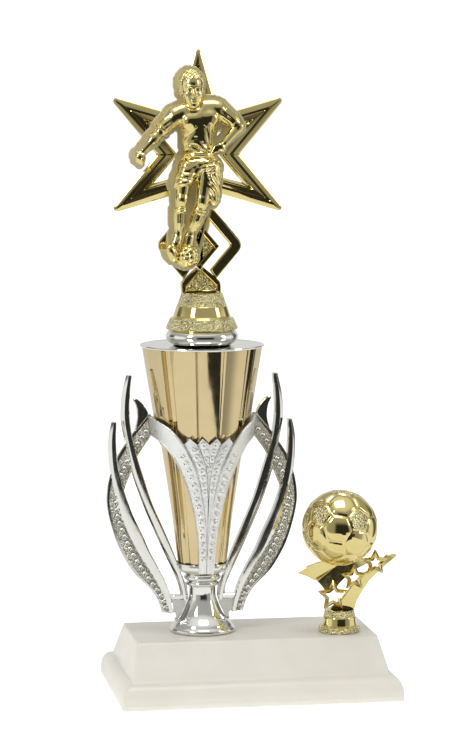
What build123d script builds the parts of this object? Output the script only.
"""Two-column award trophy: a white moulded base that carries a tall riser with a star figure,
and a small football trim beside it. Each column is clamped to the base by a quarter-inch screw.

Frame: +Z up, -Y is the front, origin at the centre of the base's resting face. Millimetres.
"""

import math
import os

from build123d import *

# ---- driving dimensions -------------------------------------------------------------------
BASE_LENGTH, BASE_DEPTH, BASE_HEIGHT = 152.4, 102.0, 32.3
BASE_WALL = 2.4
LIP_HEIGHT = 3.6  # upright edge at the foot of the skirt
SKIRT_TOP = 13.4
SKIRT_END_INSET, SKIRT_FRONT_INSET = 5.8, 7.6
SLOPE_END_INSET, SLOPE_FRONT_INSET = 4.4, 14.0

RISER_X, RISER_Y = -26.0, 0.0
TRIM_X, TRIM_Y = 47.6, -14.4

ROD_RADIUS = 3.05  # quarter-inch thread, less its clearance
NUT_BORE_RADIUS = 3.1
CLEAR_RADIUS = 3.4
HEX_FLATS, NUT_HEIGHT = 11.1, 5.6

CUP_FLOOR, CUP_RIM = 69.4, 188.6
CUP_FLOOR_RADIUS, CUP_RIM_RADIUS = 13.4, 33.1
LOBE_END = 143.0  # where the upper lobes stop on the cup

FIGURE_FOOT, FIGURE_TOP = 198.0, 218.0
STAR_CENTRE_Z, STAR_TIP, STAR_NOTCH = 292.3, 57.4, 23.5
STAR_WIDER, STAR_TALLER = 0.968, 1.033  # the six-pointed star is a little narrow for its height
STAR_X, LATTICE_X, FOOT_X = -2.0, -1.3, -0.5  # the figure leans a little to the left as it rises
STAR_TIP_ROUND = 1.2
STAR_HALF_THICKNESS = 1.7
STAR_BAR = 8.7  # width of the star's frame, square to its edges

BALL_RADIUS = 20.8
BALL_Z = 89.5

STACK_TOP = 27.9  # underside of the screw bosses inside the base
WEIGHT_THICKNESS = 5.0
WASHER_THICKNESS, WASHER_RADIUS = 1.5, 12.5
LOCK_THICKNESS, LOCK_RADIUS = 1.2, 6.4

os.makedirs("parts", exist_ok=True)


def save(shape, name):
    """Writes one node."""
    export_step(shape, f"parts/{name}.step")


def cylinder(radius, low, high, x=0.0, y=0.0):
    """An upright cylinder between two heights."""
    return Pos(x, y, (low + high) / 2) * Cylinder(radius, high - low)


def turned(points, x=0.0, y=0.0):
    """A solid of revolution from (radius, height) points, on an upright axis at x, y."""
    outline = make_face(Polyline(*[(r, 0, z) for r, z in points], close=True).edges())
    return Pos(x, y, 0) * revolve(outline, Axis.Z)


def plate(outline, low, high):
    """Extrudes a closed list of (x, z) points between two values of y."""
    face = make_face(Polyline(*[(x, low, z) for x, z in outline], close=True).edges())
    return extrude(face, high - low, dir=(0, 1, 0))


def curved_plate(left, right, low, high):
    """A plate whose two long sides are smooth curves through (x, z) points, end to end."""
    left_edge = Spline(*[(x, low, z) for x, z in left])
    right_edge = Spline(*[(x, low, z) for x, z in right])
    foot = Line(left_edge @ 0, right_edge @ 0)
    head = Line(left_edge @ 1, right_edge @ 1)
    face = make_face([left_edge, head, right_edge, foot])
    return extrude(face, high - low, dir=(0, 1, 0))


def star_points(count, tip, notch, centre, start=90.0):
    """Corners of a star, first tip at the start angle."""
    corners = []
    for k in range(2 * count):
        angle = math.radians(start + 180.0 * k / count)
        radius = notch if k % 2 else tip
        corners.append((centre[0] + radius * math.cos(angle), centre[1] + radius * math.sin(angle)))
    return corners


def large_star(inset, low, high, rounding=0.0):
    """The six-pointed star, moved inwards by a distance, as a plate."""
    tip, notch = inset_star(6, STAR_TIP, STAR_NOTCH, inset)
    corners = [(STAR_X + x * STAR_WIDER, STAR_CENTRE_Z + z * STAR_TALLER)
               for x, z in star_points(6, tip, notch, (0, 0))]
    solid = plate(corners, low, high)
    if rounding:
        tips = [edge for edge in solid.edges().filter_by(Axis.Y)
                if any(math.hypot(edge.center().X - x, edge.center().Z - z) < 0.1 for x, z in corners[::2])]
        solid = fillet(tips, rounding)
    return solid


def inset_star(count, tip, notch, inset):
    """Tip and notch radii of a star moved inwards by a distance square to its edges."""
    half = math.pi / count
    edge = math.atan2(notch * math.sin(half), tip - notch * math.cos(half))
    return tip - inset / math.sin(edge), notch - inset / math.sin(edge + half)


def mirrored(outline):
    """The same outline on the other side of x = 0."""
    return [(-x, z) for x, z in outline]


def tapered_bar(start, end, start_radius, end_radius):
    """A round-ended bar between two points, thicker at one end."""
    a, b = Vector(*start), Vector(*end)
    along = b - a
    axis_plane = Plane(origin=a, z_dir=along)
    bar = axis_plane * Pos(0, 0, along.length / 2) * Cone(start_radius, end_radius, along.length)
    return bar + Pos(*start) * Sphere(start_radius) + Pos(*end) * Sphere(end_radius)


# ---- base ---------------------------------------------------------------------------------
def skirt_side(half_length, skirt_inset, slope_inset, wall=0.0, top=BASE_HEIGHT):
    """Half of the base's outline, as (distance out, height) points from the foot upwards."""
    rise = SKIRT_TOP - LIP_HEIGHT
    steps = 7
    arc = [
        (
            half_length - skirt_inset * (1 - math.cos(math.pi / 2 * k / steps)),
            LIP_HEIGHT + rise * math.sin(math.pi / 2 * k / steps),
        )
        for k in range(steps + 1)
    ]
    shoulder = half_length - skirt_inset
    points = [(half_length, 0), *arc, (shoulder - slope_inset, top)]
    return [(out - wall, z) for out, z in points]


def moulding(wall, top):
    """The base's mitred body: its front and end outlines, extruded and intersected."""
    ends = skirt_side(BASE_LENGTH / 2, SKIRT_END_INSET, SLOPE_END_INSET, wall, top)
    fronts = skirt_side(BASE_DEPTH / 2, SKIRT_FRONT_INSET, SLOPE_FRONT_INSET, wall, top)
    seen_from_front = [*ends, *mirrored(ends)[::-1]]
    seen_from_end = [*fronts, *mirrored(fronts)[::-1]]
    long_bar = plate(seen_from_front, -BASE_DEPTH, BASE_DEPTH)
    face = make_face(Polyline(*[(-BASE_LENGTH, y, z) for y, z in seen_from_end], close=True).edges())
    cross_bar = extrude(face, 2 * BASE_LENGTH, dir=(1, 0, 0))
    return long_bar & cross_bar


def base_shell():
    """Hollow base with a boss over each screw and two stiffening ribs."""
    shell = moulding(0.0, BASE_HEIGHT) - moulding(BASE_WALL, BASE_HEIGHT - BASE_WALL)
    roof = BASE_HEIGHT - BASE_WALL
    for x, y in ((RISER_X, RISER_Y), (TRIM_X, TRIM_Y)):
        shell += cylinder(9.0, STACK_TOP, roof + 0.5, x, y)
    for x in (-2.0, 18.0):
        shell += Pos(x, 0, (STACK_TOP + roof + 0.5) / 2) * Box(1.6, 50.0, roof + 0.5 - STACK_TOP)
    for x, y in ((RISER_X, RISER_Y), (TRIM_X, TRIM_Y)):
        shell -= cylinder(CLEAR_RADIUS, STACK_TOP - 1, BASE_HEIGHT + 1, x, y)
    return shell


def weight_plate():
    """Steel bar that keeps the trophy from tipping, clamped under the bosses."""
    low = STACK_TOP - WEIGHT_THICKNESS
    bar = Pos(6.0, -4.0, (low + STACK_TOP) / 2) * Box(112.0, 46.0, WEIGHT_THICKNESS)
    for x, y in ((RISER_X, RISER_Y), (TRIM_X, TRIM_Y)):
        bar -= cylinder(CLEAR_RADIUS, low - 1, STACK_TOP + 1, x, y)
    return fillet(bar.edges().filter_by(Axis.Z).group_by(SortBy.LENGTH)[-1], 3.0)


def ring(outer, bore, low, high, x, y):
    return cylinder(outer, low, high, x, y) - cylinder(bore, low - 1, high + 1, x, y)


def hex_block(low, high, x, y, flats=HEX_FLATS, bore=NUT_BORE_RADIUS):
    """A hexagon nut, or a bolt's head where bore is zero."""
    hexagon = Pos(x, y, low) * RegularPolygon(flats / 2, 6, major_radius=False)
    block = extrude(hexagon, high - low)
    corner = flats / math.sqrt(3)
    cut = corner - flats / 2
    block &= turned([(0, low), (corner - cut / 2, low), (corner, low + 0.5), (corner, high - 0.5),
                     (corner - cut / 2, high), (0, high)], x, y)
    return block - cylinder(bore, low - 1, high + 1, x, y) if bore else block


WASHER_TOP = STACK_TOP - WEIGHT_THICKNESS
LOCK_TOP = WASHER_TOP - WASHER_THICKNESS
NUT_TOP = LOCK_TOP - LOCK_THICKNESS


def main_rod():
    """Threaded rod from under the base up into the figure's nut."""
    return chamfer(cylinder(ROD_RADIUS, 9.0, 213.5, RISER_X, RISER_Y).edges(), 0.5)


def trim_bolt():
    """Hexagon bolt that holds the trim from below."""
    head = hex_block(NUT_TOP - 4.2, NUT_TOP, TRIM_X, TRIM_Y, bore=0)
    return head + cylinder(ROD_RADIUS, NUT_TOP - 0.1, 43.0, TRIM_X, TRIM_Y)


# ---- riser --------------------------------------------------------------------------------
def riser_stem():
    """Vase-shaped foot, neck and seat, hollow in the foot, bored for the rod."""
    foot = BASE_HEIGHT
    profile = [(0, foot), (17.2, foot), (17.8, foot + 0.9), (17.7, foot + 2.2), (16.6, foot + 4.0),
               (15.0, foot + 5.8), (12.8, foot + 7.9), (11.0, foot + 10.4), (9.6, foot + 13.6),
               (8.6, foot + 17.0), (7.8, foot + 21.0), (7.5, foot + 25.0), (8.4, foot + 25.6),
               (8.9, foot + 26.6), (8.4, foot + 27.6), (8.3, foot + 28.2), (9.6, foot + 29.0),
               (10.0, foot + 30.2), (9.6, foot + 31.2), (10.6, foot + 32.2), (13.4, foot + 33.8),
               (14.8, foot + 35.2), (14.8, foot + 38.2), (0, foot + 38.2)]
    stem = turned(profile)
    stem -= turned([(0, foot - 1), (14.6, foot - 1), (14.0, foot + 3.5), (8.4, foot + 9.5),
                    (6.0, foot + 14.0), (0, foot + 14.0)])
    stem -= cylinder(CLEAR_RADIUS, foot, foot + 40)
    stem -= cylinder(13.8, CUP_FLOOR, foot + 40)
    return Pos(RISER_X, RISER_Y, 0) * stem


BAND_OUTER = [(-22.6, 42.6), (-24.5, 49.1), (-27.9, 54.9), (-32.3, 59.9), (-37.9, 65.8), (-42.4, 72.3),
              (-46.2, 79.7), (-49.0, 87.6), (-51.7, 98.3), (-52.4, 107.0), (-51.0, 117.5), (-46.8, 128.8),
              (-42.4, 136.0), (-38.5, 141.5), (-30.2, 152.0)]
BAND_INNER = [(-18.6, 42.6), (-20.8, 50.1), (-24.1, 57.6), (-28.6, 65.6), (-34.1, 74.8), (-39.1, 84.5),
              (-42.4, 93.2), (-44.0, 102.0), (-43.0, 111.0), (-39.8, 119.6), (-35.6, 129.2), (-28.2, 140.0)]
SHORT_OUTER = [(-19.2, 42.6), (-21.4, 50.1), (-24.7, 57.6), (-29.2, 65.6), (-34.7, 74.8), (-39.8, 84.5),
               (-43.6, 93.2), (-46.2, 100.6), (-49.2, 113.0), (-50.8, 123.0), (-51.4, 133.6),
               (-50.9, 141.0), (-49.5, 148.3)]
SHORT_INNER = [(-16.2, 42.6), (-17.4, 50.0), (-20.2, 58.6), (-24.2, 67.2), (-29.4, 77.0), (-33.3, 86.0),
               (-37.7, 95.6), (-41.0, 104.6), (-44.9, 116.8), (-46.6, 126.1), (-47.2, 133.5),
               (-47.4, 141.0), (-47.1, 148.3)]
TALL_OUTER = [(-11.6, 49.4), (-13.4, 58.0), (-17.3, 67.5), (-22.8, 79.5), (-27.8, 90.9), (-32.8, 102.9),
              (-37.8, 117.0), (-40.4, 127.0), (-42.8, 138.2), (-44.5, 149.0), (-44.4, 156.0),
              (-43.4, 165.0), (-41.5, 173.6)]
TALL_INNER = [(-8.6, 49.4), (-9.7, 57.6), (-13.0, 67.6), (-17.6, 79.4), (-22.6, 91.9), (-28.0, 105.0),
              (-32.7, 118.2), (-36.1, 130.0), (-38.6, 140.4), (-39.9, 150.3), (-40.0, 158.6),
              (-39.6, 167.0), (-38.7, 173.6)]
HORN_OUTER = [(-37.4, 141.6), (-36.0, 147.4), (-35.9, 152.8), (-36.6, 157.0), (-38.1, 160.6)]
HORN_INNER = [(-30.6, 149.6), (-30.2, 151.8), (-31.0, 155.0), (-33.0, 158.4), (-36.4, 161.2)]
BAND_HALF, BLADE_HALF, WEB_HALF = 1.5, 3.0, 0.8


def wing(side):
    """One flat side frame of the riser: jewelled band, two blades, a horn, and the web to the stem."""

    def at(points):
        return points if side < 0 else mirrored(points)

    band = curved_plate(at(BAND_OUTER), at(BAND_INNER), -BAND_HALF, BAND_HALF)
    short = curved_plate(at(SHORT_OUTER), at(SHORT_INNER), -BLADE_HALF, BLADE_HALF)
    tall = curved_plate(at(TALL_OUTER), at(TALL_INNER), -BLADE_HALF, BLADE_HALF)
    horn = curved_plate(at(HORN_OUTER), at(HORN_INNER), -BAND_HALF, BAND_HALF)
    bar = plate(at([(-18.0, 49.6), (-8.2, 49.6), (-8.0, 52.6), (-18.6, 52.6)]), -2.2, 2.2)
    web = plate(at([(-17.2, 43.2), (-15.2, 42.4), (-14.6, 40.8), (-15.4, 39.4), (-12.0, 39.0),
                    (-7.0, 45.0), (-7.0, 68.0), (-13.0, 68.0), (-11.4, 57.0), (-10.6, 50.6),
                    (-17.8, 50.6)]), -WEB_HALF, WEB_HALF)
    frame = band + short + tall + horn + bar + web
    placed = Pos(RISER_X, RISER_Y, 0) * frame
    return placed - stem_envelope()


def stem_envelope():
    """The stem's outside, filled, so that a wing butts against it."""
    foot = BASE_HEIGHT
    return turned([(0, foot), (17.4, foot), (17.8, foot + 2.2), (16.6, foot + 4.0), (15.0, foot + 5.8),
                   (12.8, foot + 7.9), (11.0, foot + 10.4), (9.6, foot + 13.6), (8.6, foot + 17.0),
                   (7.8, foot + 21.0), (7.8, foot + 25.0), (8.9, foot + 25.6), (8.9, foot + 28.0),
                   (10.0, foot + 29.0), (10.0, foot + 31.2), (10.6, foot + 32.2), (13.4, foot + 33.8),
                   (14.9, foot + 35.2), (14.9, foot + 38.3), (0, foot + 38.3)], RISER_X, RISER_Y)


def cup_radius(z):
    """Radius of the cup's widest ribs at a height."""
    share = (z - CUP_FLOOR) / (CUP_RIM - CUP_FLOOR)
    return CUP_FLOOR_RADIUS + share * (CUP_RIM_RADIUS - CUP_FLOOR_RADIUS)


FAN_GAP, FAN_THICKNESS = 1.2, 1.9
FAN_FOOT = 66.4
FAN_SIDE = [(-4.3, FAN_FOOT), (-4.9, 81.0), (-5.8, 90.4), (-7.7, 100.2), (-10.0, 109.5), (-12.6, 117.0),
            (-15.2, 123.6), (-19.0, 131.0), (-23.4, 137.0), (-28.3, 140.6)]
FAN_CROWN = [(-30.4, 151.9), (-26.0, 149.6), (-20.4, 146.2), (-16.4, 142.0), (-13.4, 138.6)]
FAN_TEETH = [(-10.0, 141.9), (-6.7, 138.4), (-3.3, 141.8), (0.0, 137.4)]


def fan(side):
    """Front or back leaf of the riser: a cone-shaped strip cut to a flame outline with pointed ribs."""
    left = Spline(*[(x, 0, z) for x, z in FAN_SIDE])
    right = Spline(*[(-x, 0, z) for x, z in FAN_SIDE])
    crown = [*FAN_CROWN, *FAN_TEETH]
    top = [*crown, *mirrored(crown)[::-1][1:]]
    top_edge = Polyline(*[(x, 0, z) for x, z in [FAN_SIDE[-1], *top, (-FAN_SIDE[-1][0], FAN_SIDE[-1][1])]])
    outline = make_face([left, right, Line(left @ 0, right @ 0), *top_edge.edges()])
    prism = Pos(0, side * BAND_HALF, 0) * extrude(outline, 40.0, dir=(0, side, 0))
    low, high = FAN_FOOT - 1, 154.0
    inner = [(cup_radius(z) + FAN_GAP, z) for z in (low, high)]
    outer = [(r + FAN_THICKNESS, z) for r, z in inner]
    shell = turned([inner[0], outer[0], outer[1], inner[1]])
    return Pos(RISER_X, RISER_Y, 0) * (shell & prism) - stem_envelope()


def lobed_face(radius, bulge, z):
    """Cross-section of the cup: four groups of three ribs with a narrow channel between groups."""
    rib, channel = 27.0, 9.0
    angle = -90.0 - 1.5 * rib
    corners = []
    for _ in range(4):
        for _ in range(3):
            corners.append((angle, angle + rib, radius * (1 + bulge)))
            angle += rib
        corners.append((angle, angle + channel, radius * 0.93))
        angle += channel

    def at(degrees, r):
        return (r * math.cos(math.radians(degrees)), r * math.sin(math.radians(degrees)), z)

    crease = radius * 0.95
    edges = [ThreePointArc(at(a, crease), at((a + b) / 2, crown), at(b, crease)) for a, b, crown in corners]
    return make_face(edges)


def gold_cup():
    """Tapered ribbed cup, hollow, with deeper lobes on its upper part."""
    middle = LOBE_END + 2.0
    lower = loft([lobed_face(cup_radius(CUP_FLOOR), 0.0, CUP_FLOOR),
                  lobed_face(cup_radius(middle) * 0.94, 0.0, middle)], ruled=True)
    upper = loft([lobed_face(cup_radius(LOBE_END), 0.0, LOBE_END),
                  lobed_face(cup_radius(CUP_RIM), 0.0, CUP_RIM)], ruled=True)
    floor, wall = 2.0, 3.6
    hollow = turned([(0, CUP_FLOOR + floor), (cup_radius(CUP_FLOOR) - wall, CUP_FLOOR + floor),
                     (cup_radius(CUP_RIM) - wall, CUP_RIM + 0.1), (0, CUP_RIM + 0.1)])
    cup = lower + upper - hollow - cylinder(CLEAR_RADIUS, CUP_FLOOR - 1, CUP_FLOOR + 5)
    return Pos(RISER_X, RISER_Y, 0) * cup


def cup_lid():
    """Thin plated disc on the cup's rim, with a locating ring below."""
    lid = turned([(CLEAR_RADIUS, CUP_RIM), (26.4, CUP_RIM), (26.4, CUP_RIM - 2.0), (28.6, CUP_RIM - 2.0),
                  (28.6, CUP_RIM), (33.3, CUP_RIM), (33.6, CUP_RIM + 0.6), (33.2, CUP_RIM + 1.2),
                  (18.0, CUP_RIM + 0.9), (CLEAR_RADIUS, CUP_RIM + 0.9)])
    return Pos(RISER_X, RISER_Y, 0) * lid


def figure_collar():
    """Plated cushion-shaped collar between the lid and the figure."""
    low, high = CUP_RIM + 0.9, FIGURE_FOOT
    return turned([(CLEAR_RADIUS, low), (15.4, low), (16.4, low + 0.5), (18.4, low + 2.0), (19.5, low + 3.6),
                   (19.7, low + 4.8), (19.4, low + 6.2), (18.2, high - 0.9), (17.4, high),
                   (CLEAR_RADIUS, high)], RISER_X, RISER_Y)


# ---- figure -------------------------------------------------------------------------------
INSERT_LOW = 206.0


def figure_base():
    """Stepped cone under the star, hollow below, with a pocket for its nut."""
    low, high = FIGURE_FOOT, FIGURE_TOP
    cone = turned([(0, low), (19.0, low), (19.4, low + 0.7), (17.2, low + 6.4), (15.6, low + 6.8),
                   (13.5, low + 12.8), (13.3, low + 13.1), (11.0, high - 0.4), (10.6, high), (0, high)])
    cone -= turned([(0, low - 1), (16.6, low - 1), (13.6, INSERT_LOW), (0, INSERT_LOW)])
    cone -= hex_block(INSERT_LOW - 1, INSERT_LOW + NUT_HEIGHT, 0, 0, HEX_FLATS, 0)
    cone -= cylinder(CLEAR_RADIUS, INSERT_LOW, 214.5)
    return Pos(RISER_X, RISER_Y, 0) * cone


def rhombus_ring(half_width, half_height, centre_z, bar, corner):
    """An upright rhombus frame with rounded side corners."""
    outer = Pos(0, 0, centre_z) * (Plane.XZ * Polygon(
        (half_width, 0), (0, half_height), (-half_width, 0), (0, -half_height), align=None))
    outer = fillet(outer.vertices().group_by(Axis.X)[0] + outer.vertices().group_by(Axis.X)[-1], corner)
    slope = math.hypot(half_width, half_height)
    shrink = 1 - bar * slope / (half_width * half_height)
    inner = Pos(0, 0, centre_z) * (Plane.XZ * Polygon(
        (half_width * shrink, 0), (0, half_height * shrink), (-half_width * shrink, 0),
        (0, -half_height * shrink), align=None))
    return outer - inner


def star_frame():
    """Six-pointed open star on a lattice of crossed bands, one flat plate with a grooved face."""
    half = STAR_HALF_THICKNESS
    rim_width, groove = 3.1, 1.1
    star_hole = large_star(STAR_BAR, -half - 1, half + 1)
    star = large_star(0.0, -half, half, STAR_TIP_ROUND) - star_hole
    for low, high in ((-half - 1, -half + 0.8), (half - 0.8, half + 1)):
        star -= large_star(rim_width, low, high) - large_star(rim_width + groove, low - 1, high + 1)
    middle = Pos(LATTICE_X, 0, 0)
    big = middle * extrude(rhombus_ring(24.2, 29.3, 243.4, 4.9, 4.3), half, both=True)
    small = middle * extrude(rhombus_ring(10.7, 12.9, 242.8, 2.6, 0.6), half, both=True)
    panel = middle * plate([(8.6, 242.8), (0, 253.0), (-8.6, 242.8), (0, 232.6)], -0.9, 0.9)
    foot_outline = [(-10.6, 221.6), (-10.4, FIGURE_TOP), (10.4, FIGURE_TOP), (10.6, 221.6), (9.0, 225.0),
                    (1.2, 232.2), (-2.2, 232.2), (-9.6, 225.0)]
    foot = Pos(FOOT_X, 0, 0) * plate(foot_outline, -half, half)
    pocket = [(-7.6, 219.6), (7.6, 219.6), (7.8, 221.4), (-0.4, 229.9), (-8.0, 221.4)]
    foot -= Pos(FOOT_X, 0, 0) * (plate(pocket, -half - 1, -0.9) + plate(pocket, 0.9, half + 1))
    below = Pos(LATTICE_X, 0, 0) * plate([(-10.6, 222.6), (-40, 222.6), (-40, 200), (40, 200), (40, 222.6),
                                          (10.6, 222.6), (0, 232.6)], -5, 5)
    frame = star + (big - below - star_hole) + small + panel + foot
    return Pos(RISER_X, RISER_Y, 0) * frame


# Each limb: start, end, radius at the start, radius at the end.
LIMBS = {
    "head": ((-7.3, -9.0, 330.4), (-7.0, -9.6, 323.8), 6.9, 6.0),
    "neck": ((-6.4, -8.0, 320.0), (-4.6, -7.6, 314.6), 4.2, 6.4),
    "shoulders": ((-14.2, -7.6, 313.4), (6.6, -7.0, 316.4), 4.8, 5.4),
    "chest_left": ((-6.2, -8.4, 308.6), (-5.6, -7.8, 295.0), 6.2, 5.6),
    "chest_right": ((1.4, -8.0, 309.6), (-0.4, -7.8, 295.0), 6.4, 5.6),
    "upper_arm_left": ((-15.6, -8.0, 312.8), (-24.4, -9.8, 303.8), 4.4, 3.2),
    "forearm_left": ((-24.4, -9.8, 303.8), (-33.0, -12.6, 295.4), 3.1, 2.2),
    "fist_left": ((-34.6, -12.8, 292.6), (-36.2, -13.2, 289.8), 2.8, 2.6),
    "upper_arm_right": ((9.4, -7.0, 315.4), (18.4, -7.4, 308.6), 4.8, 3.4),
    "forearm_right": ((18.4, -7.4, 308.0), (9.6, -11.0, 297.6), 3.2, 2.3),
    "fist_right": ((7.6, -11.4, 295.8), (4.6, -11.8, 293.8), 2.8, 2.6),
    "hips": ((-7.6, -8.0, 288.4), (1.8, -8.0, 288.4), 6.2, 6.0),
    "thigh_left": ((-8.4, -8.4, 286.4), (-12.6, -11.4, 273.0), 6.4, 4.8),
    "thigh_right": ((3.0, -8.0, 286.4), (2.0, -10.4, 272.0), 6.6, 4.6),
    "shin_left": ((-13.2, -11.4, 268.6), (-14.8, -9.4, 248.8), 3.8, 2.4),
    "shin_right": ((-0.8, -10.0, 267.4), (-8.2, -6.8, 250.0), 4.0, 2.6),
    "foot_left": ((-15.4, -9.8, 246.4), (-19.4, -12.8, 236.2), 2.7, 2.5),
}
RELIEF_PLANE = -3.2  # the player stands proud of this plane
BALL_AT_FEET, SMALL_BALL_RADIUS = (-9.4, -10.4, 238.4), 6.1


def player():
    """Running player in half relief, flat at the back."""
    body = None
    for start, end, start_radius, end_radius in LIMBS.values():
        bar = tapered_bar(start, end, start_radius, end_radius)
        body = bar if body is None else body + bar
    behind = Pos(0, RELIEF_PLANE + 20.0, 290.0) * Box(120.0, 40.0, 160.0)
    body -= behind
    body -= Pos(*BALL_AT_FEET) * Sphere(SMALL_BALL_RADIUS + 0.05)
    return Pos(RISER_X, RISER_Y, 0) * body


def figure_backing():
    """Flat silhouette that joins the player to the star, a little wider than the player."""
    margin = 1.9
    front, rear = RELIEF_PLANE, -STAR_HALF_THICKNESS

    def disc(x, z, radius):
        return Pos(x, (front + rear) / 2, z) * Rot(90, 0, 0) * Cylinder(radius, rear - front)

    sheet = disc(BALL_AT_FEET[0], BALL_AT_FEET[2], SMALL_BALL_RADIUS + 0.8)
    for start, end, start_radius, end_radius in LIMBS.values():
        a, b = Vector(start[0], start[2]), Vector(end[0], end[2])
        across = (b - a).normalized().rotate(Axis.Z, 90)
        near, far = start_radius + margin, end_radius + margin
        corners = (a + across * near, b + across * far, b - across * far, a - across * near)
        sheet += plate([(corner.X, corner.Y) for corner in corners], front, rear)
        sheet += disc(a.X, a.Y, near) + disc(b.X, b.Y, far)
    return Pos(RISER_X, RISER_Y, 0) * sheet


def player_ball():
    """Ball at the player's feet, seated on the backing."""
    ball = Pos(*BALL_AT_FEET) * Sphere(SMALL_BALL_RADIUS)
    ball -= Pos(0, RELIEF_PLANE + 20.0, 240.0) * Box(60.0, 40.0, 60.0)
    return Pos(RISER_X, RISER_Y, 0) * ball


# ---- trim ---------------------------------------------------------------------------------
TRIM_TOP = 44.6
RIBBON_HALF = 1.1
TRIM_STARS = (((-3.8, 52.2), 9.2), ((7.9, 61.9), 7.8), ((19.6, 69.8), 7.8))
STAR_RATIO = 0.52
STAR_RIM = 1.5
SWOOSH = [(-24.0, 65.0), (-18.0, 69.2), (-12.0, 71.8), (0.0, 76.0), (12.0, 74.4), (17.0, 71.4),
          (14.0, 68.4), (9.0, 67.0), (3.6, 63.4), (-0.8, 58.4), (-6.6, 52.2), (-12.0, 59.2), (-18.0, 62.8)]
UPSWEEP = [(-7.6, TRIM_TOP), (8.4, TRIM_TOP), (12.9, 54.6), (16.8, 60.0), (21.4, 64.6), (32.0, 73.4),
           (22.4, 74.4), (15.4, 66.2), (8.6, 59.4), (3.2, 52.0), (-1.0, 47.6)]


def trim_base():
    """Small stepped round foot of the trim, with a pocket for its nut."""
    low, high = BASE_HEIGHT, TRIM_TOP
    foot = turned([(0, low), (11.1, low), (11.4, low + 0.5), (11.2, low + 3.2), (9.9, low + 3.7),
                   (9.4, low + 4.2), (9.0, low + 8.2), (8.8, low + 8.5), (8.3, high - 0.5), (7.9, high),
                   (0, high)])
    foot -= hex_block(low - 1, low + NUT_HEIGHT, 0, 0, HEX_FLATS, 0)
    foot -= cylinder(CLEAR_RADIUS, low, 43.4)
    return Pos(TRIM_X, TRIM_Y, 0) * foot


def star_window(centre, radius):
    tip, notch = inset_star(5, radius, radius * STAR_RATIO, STAR_RIM)
    return plate(star_points(5, tip, notch, centre), -20, 20)


def ribbon(outline):
    """A flat ribbon, cut clear of the ball and pierced behind each star."""
    strip = plate(outline, -RIBBON_HALF, RIBBON_HALF)
    for centre, radius in TRIM_STARS:
        strip -= star_window(centre, radius)
    strip -= Pos(0, 0, BALL_Z) * Sphere(BALL_RADIUS + 0.05)
    biggest = strip.solids().sort_by(SortBy.VOLUME)[-1]
    return Pos(TRIM_X, TRIM_Y, 0) * biggest


def trim_stars():
    """Three open stars in front of the ribbon."""
    stars = []
    for centre, radius in TRIM_STARS:
        star = plate(star_points(5, radius, radius * STAR_RATIO, centre), -RIBBON_HALF - 2.0, -RIBBON_HALF)
        star -= star_window(centre, radius)
        star -= Pos(0, 0, BALL_Z) * Sphere(BALL_RADIUS + 0.05)
        stars.append(Pos(TRIM_X, TRIM_Y, 0) * star)
    return Compound(children=stars)


def half_ball(side):
    """One moulded half of the ball, split on its middle plane."""
    shell = Sphere(BALL_RADIUS) - Sphere(BALL_RADIUS - 2.0)
    shell &= Pos(0, side * 25.0, 0) * Box(60.0, 50.0, 60.0)
    return Pos(TRIM_X, TRIM_Y, BALL_Z) * shell


def build():
    save(base_shell(), "base_shell")
    save(weight_plate(), "weight_plate")
    for name, x, y in (("main", RISER_X, RISER_Y), ("trim", TRIM_X, TRIM_Y)):
        save(ring(WASHER_RADIUS, CLEAR_RADIUS, LOCK_TOP, WASHER_TOP, x, y), f"{name}_washer")
        save(ring(LOCK_RADIUS, CLEAR_RADIUS, NUT_TOP, LOCK_TOP, x, y), f"{name}_lock_washer")
    save(main_rod(), "main_rod")
    save(hex_block(NUT_TOP - NUT_HEIGHT, NUT_TOP, RISER_X, RISER_Y), "main_nut")
    save(trim_bolt(), "trim_bolt")
    save(riser_stem(), "riser_stem")
    save(wing(-1), "wing_left")
    save(wing(1), "wing_right")
    save(fan(-1), "fan_front")
    save(fan(1), "fan_back")
    save(gold_cup(), "gold_cup")
    save(cup_lid(), "cup_lid")
    save(figure_collar(), "figure_collar")
    save(figure_base(), "figure_base")
    save(hex_block(INSERT_LOW, INSERT_LOW + NUT_HEIGHT, RISER_X, RISER_Y, HEX_FLATS - 0.1), "figure_nut")
    save(star_frame(), "star_frame")
    save(figure_backing(), "figure_backing")
    save(player(), "player")
    save(player_ball(), "player_ball")
    save(trim_base(), "trim_base")
    save(hex_block(BASE_HEIGHT, BASE_HEIGHT + NUT_HEIGHT, TRIM_X, TRIM_Y, HEX_FLATS - 0.1), "trim_nut")
    save(ribbon(SWOOSH), "trim_swoosh")
    save(ribbon(UPSWEEP), "trim_upsweep")
    save(trim_stars(), "trim_stars")
    save(half_ball(-1), "trim_ball_front")
    save(half_ball(1), "trim_ball_back")


build()
